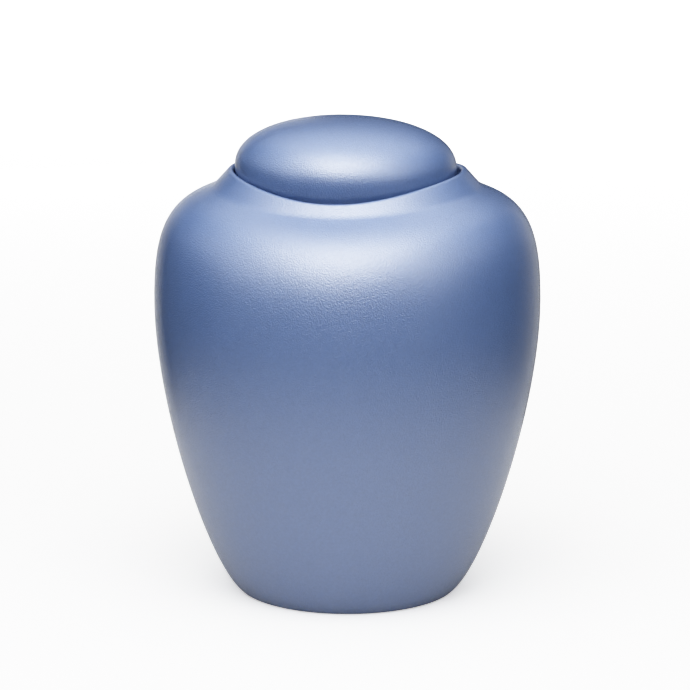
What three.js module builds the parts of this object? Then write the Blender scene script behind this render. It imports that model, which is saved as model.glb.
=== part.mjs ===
// A two-piece funeral urn: a hollow vessel whose lip dips at the front and the back,
// and a pebble-shaped lid that drops into its mouth and rests on a ledge inside.
// Millimetres, +Z up, origin in the middle of the underside, front towards -Y.
import * as THREE from "three";

// Vessel, outside
const bodyRadius = 105.5; // the widest ring
const bodyRadiusHeight = 161.7; // where that ring is
const footRadius = 59; // the flat disc that the urn stands on
const footPull = 20; // how far the foot's turn reaches into the wall
const footLean = 32.7; // degrees above the table at which the wall leaves the foot
const shoulderSlope = 23.9; // degrees below level, at the foot of the neck
const shoulderRing = 8.9; // the straight of that slope, from the crease outwards

// Vessel, neck and lip
const rimHeight = 234.5; // the lip's top at the two sides
const mouthRadius = 61.6;
const lipInnerRound = 1.6;
const lipOuterRound = 2.6;
const neckSlope = 47.7; // degrees, the neck's outer face
const neckDrop = 9.9; // from the lip's top down to the crease, at the two sides
const frontNeckDrop = 6.2; // the same at the front and the back
const creaseSoftness = 2.2; // how far the crease's rounding reaches each way
const lipDip = 8.8; // how much lower the lip is at the front and the back
const lipDipSharpness = 3; // a larger number makes the two dips narrower

// Vessel, inside
const wall = 9;
const floorThickness = 10;
const ledgeDepth = 6.4; // from the lip's lowest point down to the ledge that carries the lid
const ledgeThickness = 9;
const ledgeWidth = 17.2;

// How far each curve keeps its first direction, as a share of the way to its corner
const wallFullness = 0.364; // from the belly down
const bellyFullness = 0.58; // from the belly up
const shoulderFullness = 0.855; // from the neck outwards
const hollowFullness = 0.88; // inside, both ways

// Lid
const lidGap = 1.4; // between the lid and the mouth, all round
const lidSeatGap = 0.3; // between the lid's seat and the ledge
const lidSeatOverlap = 5.5; // how far the seat reaches onto the ledge
const lidBelow = 15.9; // from the seat up to the lid's widest ring
const lidAbove = 26.2; // from that ring up to the top
const lidFullness = 2.2; // 2 is an ellipse, larger is fuller
const lidWall = 8;

const turnSegments = 64;

const frontRimHeight = rimHeight - lipDip;
const ledgeHeight = frontRimHeight - ledgeDepth;
const throatRadius = mouthRadius - ledgeWidth;
const crestRadius = mouthRadius + lipInnerRound;

const lidRadius = mouthRadius - lidGap;
const lidRingHeight = ledgeHeight + lidSeatGap + lidBelow;
const lidSeatRadius = throatRadius + lidSeatOverlap;

// Every outline point is a Vector2 of radius and height.
function at(radius, height) {
  return new THREE.Vector2(radius, height);
}

function towards(degrees, length) {
  const angle = THREE.MathUtils.degToRad(degrees);
  return at(length * Math.cos(angle), length * Math.sin(angle));
}

// A smooth curve that leaves start along leave and comes to end from end + arrive.
function bend(start, leave, arrive, end) {
  return new THREE.CubicBezierCurve(start, start.clone().add(leave), end.clone().add(arrive), end);
}

function arc(centre, radius, fromDegrees, toDegrees, steps) {
  return Array.from({ length: steps + 1 }, (_, i) => {
    const degrees = THREE.MathUtils.lerp(fromDegrees, toDegrees, i / steps);
    return towards(degrees, radius).add(centre);
  });
}

// A quarter of a superellipse from (outer, ringHeight) to (inner, ringHeight + rise).
function quarter(inner, outer, ringHeight, rise, fullness, steps) {
  return Array.from({ length: steps + 1 }, (_, i) => {
    const turn = (i / steps) * (Math.PI / 2);
    const out = i === steps ? 0 : Math.cos(turn) ** (2 / fullness);
    const up = Math.sin(turn) ** (2 / fullness);
    return at(inner + (outer - inner) * out, ringHeight + rise * up);
  });
}

// A rising curve moved to its left by distance, from where it crosses level upwards.
function insetAbove(curve, distance, level, steps) {
  const points = Array.from({ length: steps + 1 }, (_, i) => {
    const left = curve.getTangent(i / steps).rotateAround(at(0, 0), Math.PI / 2);
    return curve.getPoint(i / steps).addScaledVector(left, distance);
  });
  const first = points.findIndex((point) => point.y > level);
  const over = points[first];
  const under = first > 0 ? points[first - 1] : at(over.x, level);
  const edge = under.clone().lerp(over, (level - under.y) / (over.y - under.y));
  return [edge, ...points.slice(first)];
}

const belly = at(bodyRadius, bodyRadiusHeight);
const wallCurve = bend(
  at(footRadius, 0),
  towards(footLean, footPull),
  at(0, -wallFullness * bodyRadiusHeight),
  belly,
);

// The outside, from the middle of the underside up to the lip's top.
function vesselOutside(lipHeight, creaseDrop) {
  const creaseHeight = lipHeight - creaseDrop;
  const lipCentre = at(crestRadius, lipHeight - lipOuterRound);
  const lip = arc(lipCentre, lipOuterRound, 90 - neckSlope, 90, 3);
  const neckRun = (lip[0].y - creaseHeight) / Math.tan(THREE.MathUtils.degToRad(neckSlope));
  const crease = at(lip[0].x + neckRun, creaseHeight);
  const creaseStart = towards(-shoulderSlope, creaseSoftness).add(crease);
  const creaseEnd = towards(180 - neckSlope, creaseSoftness).add(crease);
  const shoulderEnd = towards(-shoulderSlope, shoulderRing).add(crease);
  const shoulderCurve = bend(
    belly,
    at(0, bellyFullness * (shoulderEnd.y - belly.y)),
    towards(-shoulderSlope, shoulderFullness * (belly.x - shoulderEnd.x)),
    shoulderEnd,
  );
  return [
    at(0, 0),
    ...wallCurve.getPoints(12),
    ...shoulderCurve.getPoints(8).slice(1),
    ...new THREE.QuadraticBezierCurve(creaseStart, crease, creaseEnd).getPoints(3),
    ...lip,
  ];
}

// The inside, from the lip's top down to the middle of the floor.
function vesselInside(lipHeight) {
  const lip = arc(at(crestRadius, lipHeight - lipInnerRound), lipInnerRound, 90, 180, 2).slice(1);
  const roof = at(throatRadius, ledgeHeight - ledgeThickness);
  const hollowBelly = at(bodyRadius - wall, bodyRadiusHeight);
  const roofCurve = bend(
    roof,
    at(hollowFullness * (hollowBelly.x - roof.x), 0),
    at(0, hollowFullness * (roof.y - hollowBelly.y)),
    hollowBelly,
  );
  return [
    ...lip,
    at(mouthRadius, ledgeHeight),
    at(throatRadius, ledgeHeight),
    ...roofCurve.getPoints(7),
    ...insetAbove(wallCurve, wall, floorThickness, 9).reverse().slice(1),
    at(0, floorThickness),
  ];
}

// From the top of the hollow under the lid, round the seat, up to the top of the lid.
function lidOutline() {
  const hollowRadius = lidRadius - lidWall;
  const hollowSeatRadius = lidSeatRadius - lidWall;
  return [
    ...quarter(0, hollowRadius, lidRingHeight, lidAbove - lidWall, lidFullness, 5).reverse(),
    ...quarter(hollowSeatRadius, hollowRadius, lidRingHeight, -lidBelow, 2, 3).slice(1),
    ...quarter(lidSeatRadius, lidRadius, lidRingHeight, -lidBelow, 2, 4).reverse(),
    ...quarter(0, lidRadius, lidRingHeight, lidAbove, lidFullness, 8).slice(1),
  ];
}

// Turns an outline about Z into a closed solid.
function turned(outline) {
  return new THREE.LatheGeometry(outline, turnSegments).rotateX(Math.PI / 2);
}

// The outline passes from the side's to the front's and back again, twice round the urn.
function vesselGeometry() {
  const side = [...vesselOutside(rimHeight, neckDrop), ...vesselInside(rimHeight)];
  const front = [...vesselOutside(frontRimHeight, frontNeckDrop), ...vesselInside(frontRimHeight)];

  const geometry = turned(side);
  const position = geometry.getAttribute("position");
  for (let i = 0; i < position.count; i += 1) {
    const point = i % side.length;
    const angle = (Math.floor(i / side.length) / turnSegments) * 2 * Math.PI;
    const share = Math.abs(Math.cos(angle)) ** lipDipSharpness;
    const { x: radius, y: height } = side[point].clone().lerp(front[point], share);
    position.setXYZ(i, radius * Math.sin(angle), -radius * Math.cos(angle), height);
  }
  geometry.computeVertexNormals();
  return geometry;
}

// Blue pearl finish over a fine sandy body
function pearlBlue() {
  return new THREE.MeshStandardMaterial({ color: 0x7b93c9, roughness: 0.38, metalness: 0.35 });
}

function namedMesh(name, geometry) {
  const mesh = new THREE.Mesh(geometry, pearlBlue());
  mesh.name = name;
  return mesh;
}

const urn = new THREE.Group();
urn.add(namedMesh("urn_body", vesselGeometry()));
urn.add(namedMesh("lid", turned(lidOutline())));

export default urn;
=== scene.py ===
import math

import bpy
from mathutils import Matrix, Vector


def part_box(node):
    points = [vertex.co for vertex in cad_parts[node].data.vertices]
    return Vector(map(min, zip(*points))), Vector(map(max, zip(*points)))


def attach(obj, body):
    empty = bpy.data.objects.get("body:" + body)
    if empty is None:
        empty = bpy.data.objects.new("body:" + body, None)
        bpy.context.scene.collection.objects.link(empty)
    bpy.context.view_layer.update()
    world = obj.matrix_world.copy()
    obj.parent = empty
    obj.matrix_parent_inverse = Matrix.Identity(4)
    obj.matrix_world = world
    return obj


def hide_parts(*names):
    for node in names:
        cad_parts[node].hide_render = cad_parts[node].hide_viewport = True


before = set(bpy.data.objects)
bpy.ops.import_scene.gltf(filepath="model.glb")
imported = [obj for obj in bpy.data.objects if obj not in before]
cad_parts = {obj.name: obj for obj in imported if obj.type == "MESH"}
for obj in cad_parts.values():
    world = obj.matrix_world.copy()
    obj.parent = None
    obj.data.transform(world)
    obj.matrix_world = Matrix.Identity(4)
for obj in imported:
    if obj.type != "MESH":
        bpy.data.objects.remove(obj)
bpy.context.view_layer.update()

mm = 0.001
cornerPull = 0.6            # how far a softened corner's curve leans into the corner
sealDistance = 0.01 * mm    # closes the turned mesh along its seam and at its poles


# Outline points are Vectors of radius and height, as a thrower reads a profile.

def at(radius, height):
    return Vector((radius, height))


def towards(degrees, length):
    angle = math.radians(degrees)
    return at(length * math.cos(angle), length * math.sin(angle))


def bend(start, leave, arrive, end, steps):
    pulls = (start, start + leave, end + arrive, end)
    points = []
    for i in range(steps + 1):
        t = i / steps
        weights = ((1 - t) ** 3, 3 * (1 - t) ** 2 * t, 3 * (1 - t) * t * t, t ** 3)
        points.append(sum((pull * weight for pull, weight in zip(pulls, weights)), at(0, 0)))
    return points


def arc(centre, radius, fromDegrees, toDegrees, steps):
    turn = (toDegrees - fromDegrees) / steps
    return [centre + towards(fromDegrees + turn * i, radius) for i in range(steps + 1)]


def roundedCorner(before, corner, after, reach, steps):
    start = corner + (before - corner).normalized() * reach
    end = corner + (after - corner).normalized() * reach
    return bend(start, (corner - start) * cornerPull, (corner - end) * cornerPull, end, steps)


def superQuarter(inner, outer, ringHeight, rise, fullness, steps):
    points = []
    for i in range(steps + 1):
        turn = math.pi / 2 * i / steps
        out = max(math.cos(turn), 0) ** (2 / fullness) if i < steps else 0
        up = math.sin(turn) ** (2 / fullness)
        points.append(at(inner + (outer - inner) * out, ringHeight + rise * up))
    return points


def insetAbove(points, distance, level):
    moved = []
    for i, point in enumerate(points):
        along = points[min(i + 1, len(points) - 1)] - points[max(i - 1, 0)]
        left = at(-along.y, along.x).normalized()
        moved.append(point + left * distance)
    first = next(i for i, point in enumerate(moved) if point.y > level)
    under, over = moved[max(first - 1, 0)], moved[first]
    edge = under.lerp(over, (level - under.y) / (over.y - under.y)) if first else at(over.x, level)
    return [edge] + moved[first:]


# Away from the urn: degrees from the front towards +X, then degrees up

def outwards(azimuth, elevation):
    turn, rise = math.radians(azimuth), math.radians(elevation)
    return Vector((
        math.sin(turn) * math.cos(rise),
        -math.cos(turn) * math.cos(rise),
        math.sin(rise),
    ))


# Camera: where the photograph was taken from

view = {
    "distance": 2.0,
    "pitch": 12.5,          # degrees down
    "azimuth": 8.2,         # degrees towards +X from the front
    "aimHeight": 136.1 * mm,
    "aimLeft": 1.27 * mm,
    "lens": 190.3,
    "sensor": 36.0,
    "clipStart": 0.05,
}


def makeCamera(v):
    data = bpy.data.cameras.new("photoCamera")
    data.lens = v["lens"]
    data.sensor_width = v["sensor"]
    data.clip_start = v["clipStart"]
    camera = bpy.data.objects.new("photoCamera", data)
    bpy.context.scene.collection.objects.link(camera)
    azimuth = math.radians(v["azimuth"])
    back = outwards(v["azimuth"], v["pitch"])
    right = Vector((math.cos(azimuth), math.sin(azimuth), 0))
    aim = Vector((0, 0, v["aimHeight"])) - right * v["aimLeft"]
    turn = back.to_track_quat("Z", "Y").to_matrix().to_4x4()
    camera.matrix_world = Matrix.Translation(aim + back * v["distance"]) @ turn
    bpy.context.scene.camera = camera
    print("camera placed")


# Vessel: the same outline as the part's solid, with finer curves and softened hidden edges

bodyLow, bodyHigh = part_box("urn_body")
lidLow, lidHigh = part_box("lid")

vessel = {
    "bodyRadius": bodyHigh.x,
    "bodyRadiusHeight": 161.7 * mm,
    "footRadius": 59 * mm,
    "footPull": 20 * mm,
    "footLean": 32.7,
    "footSoftness": 1.2 * mm,
    "shoulderSlope": 23.9,
    "shoulderRing": 8.9 * mm,
    "rimHeight": bodyHigh.z,
    "mouthRadius": 61.6 * mm,
    "lipInnerRound": 1.6 * mm,
    "lipOuterRound": 2.6 * mm,
    "neckSlope": 47.7,
    "neckDrop": 9.9 * mm,
    "frontNeckDrop": 6.2 * mm,
    "creaseSoftness": 2.2 * mm,
    "lipDip": 8.8 * mm,
    "lipDipSharpness": 3.0,
    "wall": 9 * mm,
    "floorThickness": 10 * mm,
    "ledgeDepth": 6.4 * mm,
    "ledgeThickness": 9 * mm,
    "ledgeWidth": 17.2 * mm,
    "edgeSoftness": 1.0 * mm,
    "wallFullness": 0.364,
    "bellyFullness": 0.58,
    "shoulderFullness": 0.855,
    "hollowFullness": 0.88,
    "turnSteps": 360,
    "wallSteps": 64,            # from here on, steps along each stretch of the outline
    "shoulderSteps": 44,
    "creaseSteps": 10,
    "neckSteps": 5,
    "lipOuterSteps": 10,
    "lipInnerSteps": 6,
    "roofSteps": 30,
    "footSteps": 4,
    "edgeSteps": 3,
}


def vesselWall(v):
    return bend(
        at(v["footRadius"], 0),
        towards(v["footLean"], v["footPull"]),
        at(0, -v["wallFullness"] * v["bodyRadiusHeight"]),
        at(v["bodyRadius"], v["bodyRadiusHeight"]),
        v["wallSteps"],
    )


def vesselOutside(v, lipHeight, creaseDrop):
    belly = at(v["bodyRadius"], v["bodyRadiusHeight"])
    crestRadius = v["mouthRadius"] + v["lipInnerRound"]
    lipCentre = at(crestRadius, lipHeight - v["lipOuterRound"])
    lip = arc(lipCentre, v["lipOuterRound"], 90 - v["neckSlope"], 90, v["lipOuterSteps"])
    creaseHeight = lipHeight - creaseDrop
    neckRun = (lip[0].y - creaseHeight) / math.tan(math.radians(v["neckSlope"]))
    crease = at(lip[0].x + neckRun, creaseHeight)
    shoulderEnd = crease + towards(-v["shoulderSlope"], v["shoulderRing"])
    shoulder = bend(
        belly,
        at(0, v["bellyFullness"] * (shoulderEnd.y - belly.y)),
        towards(-v["shoulderSlope"], v["shoulderFullness"] * (belly.x - shoulderEnd.x)),
        shoulderEnd,
        v["shoulderSteps"],
    )
    wall = vesselWall(v)
    foot = roundedCorner(at(0, 0), wall[0], wall[1], v["footSoftness"], v["footSteps"])
    softness, steps = v["creaseSoftness"], v["neckSteps"]
    creaseCurve = roundedCorner(shoulderEnd, crease, lip[0], softness, v["creaseSteps"])
    neck = [creaseCurve[-1].lerp(lip[0], i / steps) for i in range(1, steps)]
    return [at(0, 0)] + foot + wall[2:] + shoulder[1:] + creaseCurve + neck + lip


def vesselInside(v, lipHeight):
    crestRadius = v["mouthRadius"] + v["lipInnerRound"]
    lipCentre = at(crestRadius, lipHeight - v["lipInnerRound"])
    lip = arc(lipCentre, v["lipInnerRound"], 90, 180, v["lipInnerSteps"])
    ledgeHeight = v["rimHeight"] - v["lipDip"] - v["ledgeDepth"]
    throatRadius = v["mouthRadius"] - v["ledgeWidth"]
    ledgeCorner = at(v["mouthRadius"], ledgeHeight)
    ledgeEdge = at(throatRadius, ledgeHeight)
    roof = at(throatRadius, ledgeHeight - v["ledgeThickness"])
    belly = at(v["bodyRadius"] - v["wall"], v["bodyRadiusHeight"])
    roofCurve = bend(
        roof,
        at(v["hollowFullness"] * (belly.x - roof.x), 0),
        at(0, v["hollowFullness"] * (roof.y - belly.y)),
        belly,
        v["roofSteps"],
    )
    innerWall = insetAbove(vesselWall(v), v["wall"], v["floorThickness"])
    wall = innerWall[::2]       # unseen, so every other point does
    floor = at(0, v["floorThickness"])
    soft, steps = v["edgeSoftness"], v["edgeSteps"]
    return (
        lip[1:]
        + roundedCorner(lip[-1], ledgeCorner, ledgeEdge, soft, steps)
        + roundedCorner(ledgeCorner, ledgeEdge, roof, soft, steps)
        + roundedCorner(ledgeEdge, roof, roofCurve[1], soft, steps)
        + roofCurve[2:]
        + wall[:0:-1]
        + [wall[0], floor]
    )


def vesselOutlines(v):
    frontRim = v["rimHeight"] - v["lipDip"]
    side = vesselOutside(v, v["rimHeight"], v["neckDrop"]) + vesselInside(v, v["rimHeight"])
    front = vesselOutside(v, frontRim, v["frontNeckDrop"]) + vesselInside(v, frontRim)
    return side, front


# Lid: a pebble, hollow below, with a flat ring that rests on the ledge inside the mouth

lid = {
    "radius": lidHigh.x,
    "seatHeight": lidLow.z,
    "below": 15.9 * mm,
    "top": lidHigh.z,
    "seatRadius": 49.9 * mm,
    "fullness": 2.2,            # 2 is an ellipse, larger is fuller
    "underFullness": 2,
    "wall": 8 * mm,
    "turnSteps": 360,
    "hollowTopSteps": 30,       # these four are steps along the outline
    "hollowSideSteps": 12,
    "underSteps": 24,
    "crownSteps": 64,
    "frontSharpness": 1.0,      # its front and side outlines are the same
    "shift": -0.9 * mm,         # set down by hand, a little off centre
    "lean": 0.9,                # degrees, its left side higher
}


def lidOutline(v):
    ring = v["seatHeight"] + v["below"]
    hollow = v["radius"] - v["wall"]
    hollowSeat = v["seatRadius"] - v["wall"]
    rise, drop = v["top"] - ring, -v["below"]
    above, below = v["fullness"], v["underFullness"]
    hollowTop = superQuarter(0, hollow, ring, rise - v["wall"], above, v["hollowTopSteps"])
    hollowSide = superQuarter(hollowSeat, hollow, ring, drop, below, v["hollowSideSteps"])
    under = superQuarter(v["seatRadius"], v["radius"], ring, drop, below, v["underSteps"])
    crown = superQuarter(0, v["radius"], ring, rise, above, v["crownSteps"])
    return hollowTop[::-1] + hollowSide[1:] + under[::-1] + crown[1:]


def setDown(mesh, v):
    slope = math.tan(math.radians(v["lean"]))
    for vertex in mesh.vertices:
        share = min(max((vertex.co.z - v["seatHeight"]) / v["below"], 0), 1)
        vertex.co.z -= vertex.co.x * slope * share
        vertex.co.x += v["shift"]
    print("lid set down")


# Geometry Nodes that turn an outline about Z, passing from the side's outline to the front's

def newTree(name, inputs):
    tree = bpy.data.node_groups.new(name, "GeometryNodeTree")
    tree.is_modifier = True
    for label, kind in inputs:
        tree.interface.new_socket(label, in_out="INPUT", socket_type=kind)
    tree.interface.new_socket("Geometry", in_out="OUTPUT", socket_type="NodeSocketGeometry")
    return tree


def addMath(tree, operation, first, second=None):
    node = tree.nodes.new("ShaderNodeMath")
    node.operation = operation
    for socket, value in zip(node.inputs, (first, second)):
        if isinstance(value, bpy.types.NodeSocket):
            tree.links.new(value, socket)
        elif value is not None:
            socket.default_value = value
    return node.outputs[0]


def sampleOutline(tree, outline, vector, index):
    sample = tree.nodes.new("GeometryNodeSampleIndex")
    sample.data_type = "FLOAT_VECTOR"
    tree.links.new(outline, sample.inputs["Geometry"])
    tree.links.new(vector, sample.inputs["Value"])
    tree.links.new(index, sample.inputs["Index"])
    return sample.outputs[0]


def turningTree():
    tree = newTree("turnOutline", [
        ("Geometry", "NodeSocketGeometry"),
        ("Turn Steps", "NodeSocketInt"),
        ("Outline Points", "NodeSocketInt"),
        ("Front Sharpness", "NodeSocketFloat"),
        ("Finish", "NodeSocketMaterial"),
    ])
    nodes, links = tree.nodes, tree.links
    given = nodes.new("NodeGroupInput").outputs

    # A flat grid from -0.5 to 0.5: a column for each step of the turn, a row for each point
    grid = nodes.new("GeometryNodeMeshGrid")
    grid.inputs["Size X"].default_value = 1
    grid.inputs["Size Y"].default_value = 1
    links.new(addMath(tree, "ADD", given["Turn Steps"], 1), grid.inputs["Vertices X"])
    links.new(given["Outline Points"], grid.inputs["Vertices Y"])
    place = nodes.new("ShaderNodeSeparateXYZ")
    position = nodes.new("GeometryNodeInputPosition").outputs[0]
    links.new(position, place.inputs[0])
    angle = addMath(tree, "MULTIPLY", addMath(tree, "ADD", place.outputs["X"], 0.5), 2 * math.pi)
    last = addMath(tree, "SUBTRACT", given["Outline Points"], 1)
    row = addMath(tree, "MULTIPLY", addMath(tree, "ADD", place.outputs["Y"], 0.5), last)
    index = addMath(tree, "ROUND", row)

    # Between the two outlines by how far the angle is towards the front or the back
    frontName = nodes.new("GeometryNodeInputNamedAttribute")
    frontName.data_type = "FLOAT_VECTOR"
    frontName.inputs["Name"].default_value = "frontPoint"
    cosine = addMath(tree, "COSINE", angle)
    share = addMath(tree, "POWER", addMath(tree, "ABSOLUTE", cosine), given["Front Sharpness"])
    between = nodes.new("ShaderNodeMix")
    between.data_type = "VECTOR"
    links.new(share, between.inputs["Factor"])
    vectors = [
        socket for socket in between.inputs
        if socket.type == "VECTOR" and socket.name in ("A", "B")
    ]
    frontPoint = frontName.outputs["Attribute"]
    links.new(sampleOutline(tree, given["Geometry"], position, index), vectors[0])
    links.new(sampleOutline(tree, given["Geometry"], frontPoint, index), vectors[1])
    outline = nodes.new("ShaderNodeSeparateXYZ")
    mixed = [socket for socket in between.outputs if socket.type == "VECTOR"][0]
    links.new(mixed, outline.inputs[0])

    turned = nodes.new("ShaderNodeCombineXYZ")
    radius = outline.outputs["X"]
    links.new(addMath(tree, "MULTIPLY", radius, addMath(tree, "SINE", angle)), turned.inputs["X"])
    away = addMath(tree, "MULTIPLY", cosine, -1)
    links.new(addMath(tree, "MULTIPLY", radius, away), turned.inputs["Y"])
    links.new(outline.outputs["Z"], turned.inputs["Z"])

    move = nodes.new("GeometryNodeSetPosition")
    links.new(grid.outputs["Mesh"], move.inputs["Geometry"])
    links.new(turned.outputs[0], move.inputs["Position"])
    merge = nodes.new("GeometryNodeMergeByDistance")
    merge.inputs["Distance"].default_value = sealDistance
    links.new(move.outputs["Geometry"], merge.inputs["Geometry"])
    smooth = nodes.new("GeometryNodeSetShadeSmooth")
    links.new(merge.outputs["Geometry"], smooth.inputs["Geometry"])
    realize = nodes.new("GeometryNodeRealizeInstances")
    links.new(smooth.outputs["Geometry"], realize.inputs["Geometry"])
    finish = nodes.new("GeometryNodeSetMaterial")
    links.new(realize.outputs["Geometry"], finish.inputs["Geometry"])
    links.new(given["Finish"], finish.inputs["Material"])
    links.new(finish.outputs["Geometry"], nodes.new("NodeGroupOutput").inputs["Geometry"])
    return tree


def turnPiece(name, tree, side, front, turnSteps, sharpness, finish):
    mesh = bpy.data.meshes.new(name + "Outline")
    edges = [(i, i + 1) for i in range(len(side) - 1)]
    mesh.from_pydata([(point.x, 0, point.y) for point in side], edges, [])
    frontPoints = mesh.attributes.new("frontPoint", "FLOAT_VECTOR", "POINT")
    flat = [value for point in front for value in (point.x, 0, point.y)]
    frontPoints.data.foreach_set("vector", flat)
    piece = bpy.data.objects.new(name, mesh)
    bpy.context.scene.collection.objects.link(piece)
    turning = piece.modifiers.new("turning", "NODES")
    turning.node_group = tree
    values = {
        "Turn Steps": turnSteps,
        "Outline Points": len(side),
        "Front Sharpness": sharpness,
        "Finish": finish,
    }
    for socket in tree.interface.items_tree:
        if socket.in_out == "INPUT" and socket.name in values:
            turning[socket.identifier] = values[socket.name]
    evaluated = piece.evaluated_get(bpy.context.evaluated_depsgraph_get())
    solid = bpy.data.meshes.new_from_object(evaluated)
    piece.modifiers.remove(turning)
    piece.data = solid
    piece.data.name = name
    print(name, "turned:", len(solid.polygons), "faces")
    return piece


# Finish: satin blue pearl paint over a fine sandy body

pearl = {
    "blue": (0.092, 0.167, 0.378, 1),
    "blueDeep": (0.078, 0.142, 0.322, 1),
    "pigmentIor": 2.4,          # mica flakes under the clear lacquer
    "roughness": 0.42,
    "roughnessSpread": 0.04,
    "lacquer": 1.0,
    "lacquerRoughness": 0.14,
    "glossPatch": 1.5 * mm,     # size of the duller and the shinier patches
    "grain": 0.75 * mm,         # size of the sandy grains
    "grainHeight": 0.26 * mm,
    "flake": 1.35 * mm,         # size of the lighter and the deeper blue flakes
    "ripple": 14 * mm,          # slow unevenness of the cast wall
    "rippleHeight": 0.05 * mm,
    "flakeDetail": 3,
    "grainDetail": 2,
    "rippleDetail": 1,
    "noiseLow": 0.3,            # most of a noise texture lies between these two
    "noiseHigh": 0.7,
}


def pearlFinish(p):
    material = bpy.data.materials.new("pearlBlue")
    material.use_nodes = True
    tree = material.node_tree
    nodes, links = tree.nodes, tree.links
    shader = nodes["Principled BSDF"]
    place = nodes.new("ShaderNodeTexCoord").outputs["Object"]

    def noise(size, detail):
        node = nodes.new("ShaderNodeTexNoise")
        node.inputs["Scale"].default_value = 1 / size
        node.inputs["Detail"].default_value = detail
        links.new(place, node.inputs["Vector"])
        return node.outputs[0]

    def remap(value, low, high):
        node = nodes.new("ShaderNodeMapRange")
        node.inputs["From Min"].default_value = p["noiseLow"]
        node.inputs["From Max"].default_value = p["noiseHigh"]
        node.inputs["To Min"].default_value = low
        node.inputs["To Max"].default_value = high
        links.new(value, node.inputs["Value"])
        return node.outputs[0]

    shade = nodes.new("ShaderNodeMix")
    shade.data_type = "RGBA"
    shade.inputs["A"].default_value = p["blueDeep"]
    shade.inputs["B"].default_value = p["blue"]
    links.new(remap(noise(p["flake"], p["flakeDetail"]), 0, 1), shade.inputs["Factor"])
    links.new(shade.outputs["Result"], shader.inputs["Base Color"])

    low, high = p["roughness"] - p["roughnessSpread"], p["roughness"] + p["roughnessSpread"]
    patches = noise(p["glossPatch"], p["grainDetail"])
    links.new(remap(patches, low, high), shader.inputs["Roughness"])

    grain = nodes.new("ShaderNodeBump")
    grain.inputs["Distance"].default_value = p["grainHeight"]
    links.new(noise(p["grain"], p["grainDetail"]), grain.inputs["Height"])
    ripple = nodes.new("ShaderNodeBump")
    ripple.inputs["Distance"].default_value = p["rippleHeight"]
    links.new(noise(p["ripple"], p["rippleDetail"]), ripple.inputs["Height"])
    links.new(ripple.outputs["Normal"], grain.inputs["Normal"])
    links.new(grain.outputs["Normal"], shader.inputs["Normal"])
    links.new(grain.outputs["Normal"], shader.inputs["Coat Normal"])

    shader.inputs["IOR"].default_value = p["pigmentIor"]
    shader.inputs["Coat Weight"].default_value = p["lacquer"]
    shader.inputs["Coat Roughness"].default_value = p["lacquerRoughness"]
    return material


# Studio: a pale floor, soft panels round the front and above, and a grey tabletop that only
# the urn's own shading sees, because the photograph's white surround is a cut-out

studio = {
    "floorSize": 14.0,
    "floorColour": (0.86, 0.86, 0.86, 1),
    "world": (1, 1, 1, 1),
    "worldStrength": 0.07,
    "tableRadius": 0.36,
    "tableSteps": 64,
    "tableHeight": -0.3 * mm,
    "tableColour": (0.5, 0.5, 0.5, 1),
    "flatRoughness": 0.9,       # of the floor and the tabletop
    "aimHeight": 0.16,
    "distance": 1.4,
    "floorGlow": 0.9,           # keeps the floor pale under the tone curve
    "brightest": 3.0,           # the light that comes out white
    "toneBend": 1.25,
    "toneSteps": 12,
}

# Each panel: azimuth from the front, elevation, width, height, watts. The core brightens
# the middle of the highlight, and the two behind brighten the urn's rims.
panels = {
    "mainLow": (0, 30, 1.1, 0.8, 9.5),
    "mainHigh": (0, 61, 1.1, 0.85, 21.5),
    "core": (0, 35, 0.45, 0.3, 2.4),
    "leftNear": (-50, 32, 0.9, 1.2, 6.5),
    "rightNear": (50, 32, 0.9, 1.2, 8),
    "leftFar": (-90, 42, 0.9, 1.1, 2.7),
    "rightFar": (90, 42, 0.9, 1.1, 3.1),
    "top": (0, 88, 1.4, 0.8, 14.5),
    "back": (180, 55, 1.8, 0.8, 5.5),
    "leftBehind": (-158, -6, 0.6, 0.8, 1.8),
    "rightBehind": (160, -6, 0.6, 0.8, 1.1),
}
wash = {"place": (0, 2.3, 1.7), "width": 5.0, "depth": 2.4, "watts": 150, "spread": 90}


def flatMaterial(name, colour, roughness):
    material = bpy.data.materials.new(name)
    material.use_nodes = True
    shader = material.node_tree.nodes["Principled BSDF"]
    shader.inputs["Base Color"].default_value = colour
    shader.inputs["Roughness"].default_value = roughness
    return material


def stageMesh(name, points, faces, material):
    mesh = bpy.data.meshes.new(name)
    mesh.from_pydata(points, [], faces)
    mesh.materials.append(material)
    thing = bpy.data.objects.new(name, mesh)
    bpy.context.scene.collection.objects.link(thing)
    return thing


def makeFloor(s):
    half = s["floorSize"] / 2
    corners = [(-half, -half, 0), (half, -half, 0), (half, half, 0), (-half, half, 0)]
    paleFloor = flatMaterial("paleFloor", s["floorColour"], s["flatRoughness"])
    shader = paleFloor.node_tree.nodes["Principled BSDF"]
    shader.inputs["Emission Color"].default_value = s["floorColour"]
    shader.inputs["Emission Strength"].default_value = s["floorGlow"]
    floor = stageMesh("floor", corners, [(0, 1, 2, 3)], paleFloor)
    # The urn's shading sees the tabletop in its place
    floor.visible_diffuse = False
    floor.visible_glossy = False
    floor.visible_shadow = False


def makeTable(s):
    radius, steps = s["tableRadius"], s["tableSteps"]
    points = []
    for i in range(steps):
        turn = 2 * math.pi * i / steps
        points.append((radius * math.cos(turn), radius * math.sin(turn), s["tableHeight"]))
    greyTable = flatMaterial("greyTable", s["tableColour"], s["flatRoughness"])
    table = stageMesh("tabletop", points, [range(steps)], greyTable)
    table.visible_camera = False


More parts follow.
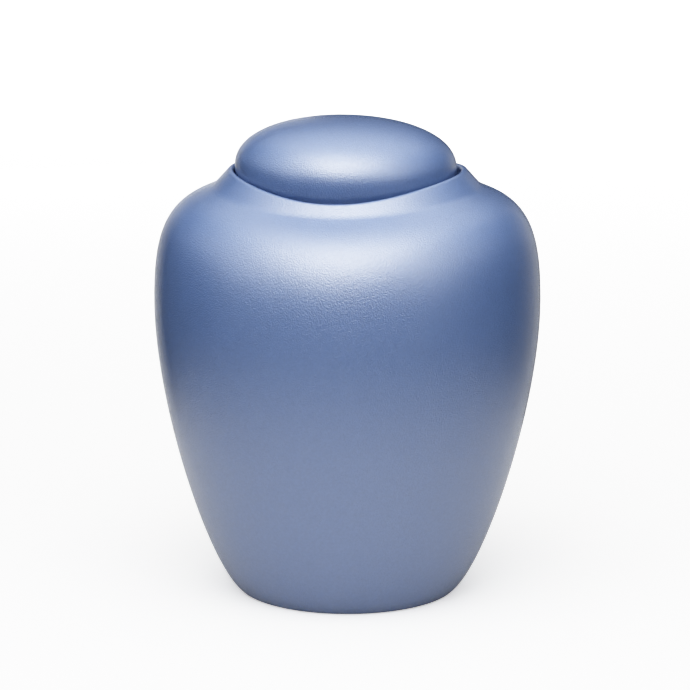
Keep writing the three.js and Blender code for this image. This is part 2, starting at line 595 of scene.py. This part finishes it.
def areaLight(name, width, height, watts, place, facing):
    data = bpy.data.lights.new(name, "AREA")
    data.shape = "RECTANGLE"
    data.size = width
    data.size_y = height
    data.energy = watts
    light = bpy.data.objects.new(name, data)
    bpy.context.scene.collection.objects.link(light)
    light.location = place
    light.rotation_euler = facing.to_track_quat("Z", "Y").to_euler()
    return light


def makeStudio(s):
    makeFloor(s)
    makeTable(s)
    world = bpy.data.worlds.new("studio")
    world.use_nodes = True
    background = world.node_tree.nodes["Background"]
    background.inputs["Color"].default_value = s["world"]
    background.inputs["Strength"].default_value = s["worldStrength"]
    bpy.context.scene.world = world
    for name, (azimuth, elevation, width, height, watts) in panels.items():
        away = outwards(azimuth, elevation)
        place = Vector((0, 0, s["aimHeight"])) + away * s["distance"]
        areaLight(name, width, height, watts, place, away)
    up = Vector((0, 0, 1))
    down = areaLight("floorWash", wash["width"], wash["depth"], wash["watts"], wash["place"], up)
    down.data.spread = math.radians(wash["spread"])
    print("studio lit")


# A camera's own tone curve, which rolls off towards white

def setTone(s):
    settings = bpy.context.scene.view_settings
    settings.view_transform = "Standard"
    settings.look = "None"
    settings.use_curve_mapping = True
    mapping = settings.curve_mapping
    mapping.white_level = (s["brightest"],) * 3
    curve = mapping.curves[3]   # the one for all three colours together
    steps = s["toneSteps"]
    for i in range(1, steps + 1):
        share = (i / steps) ** 2    # closer together in the shadows
        tone = 1 - math.exp(-(share * s["brightest"]) ** s["toneBend"])
        if i < steps:
            curve.points.new(share, tone)
        else:
            curve.points[-1].location = (share, tone)
    mapping.update()
    print("tone set")


makeCamera(view)
makeStudio(studio)
setTone(studio)

blueFinish = pearlFinish(pearl)
tree = turningTree()

sideOutline, frontOutline = vesselOutlines(vessel)
body = turnPiece(
    "vessel", tree, sideOutline, frontOutline,
    vessel["turnSteps"], vessel["lipDipSharpness"], blueFinish,
)
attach(body, "root")
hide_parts("urn_body")

pebble = lidOutline(lid)
cover = turnPiece(
    "pebbleLid", tree, pebble, pebble,
    lid["turnSteps"], lid["frontSharpness"], blueFinish,
)
setDown(cover.data, lid)
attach(cover, "root")
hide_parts("lid")
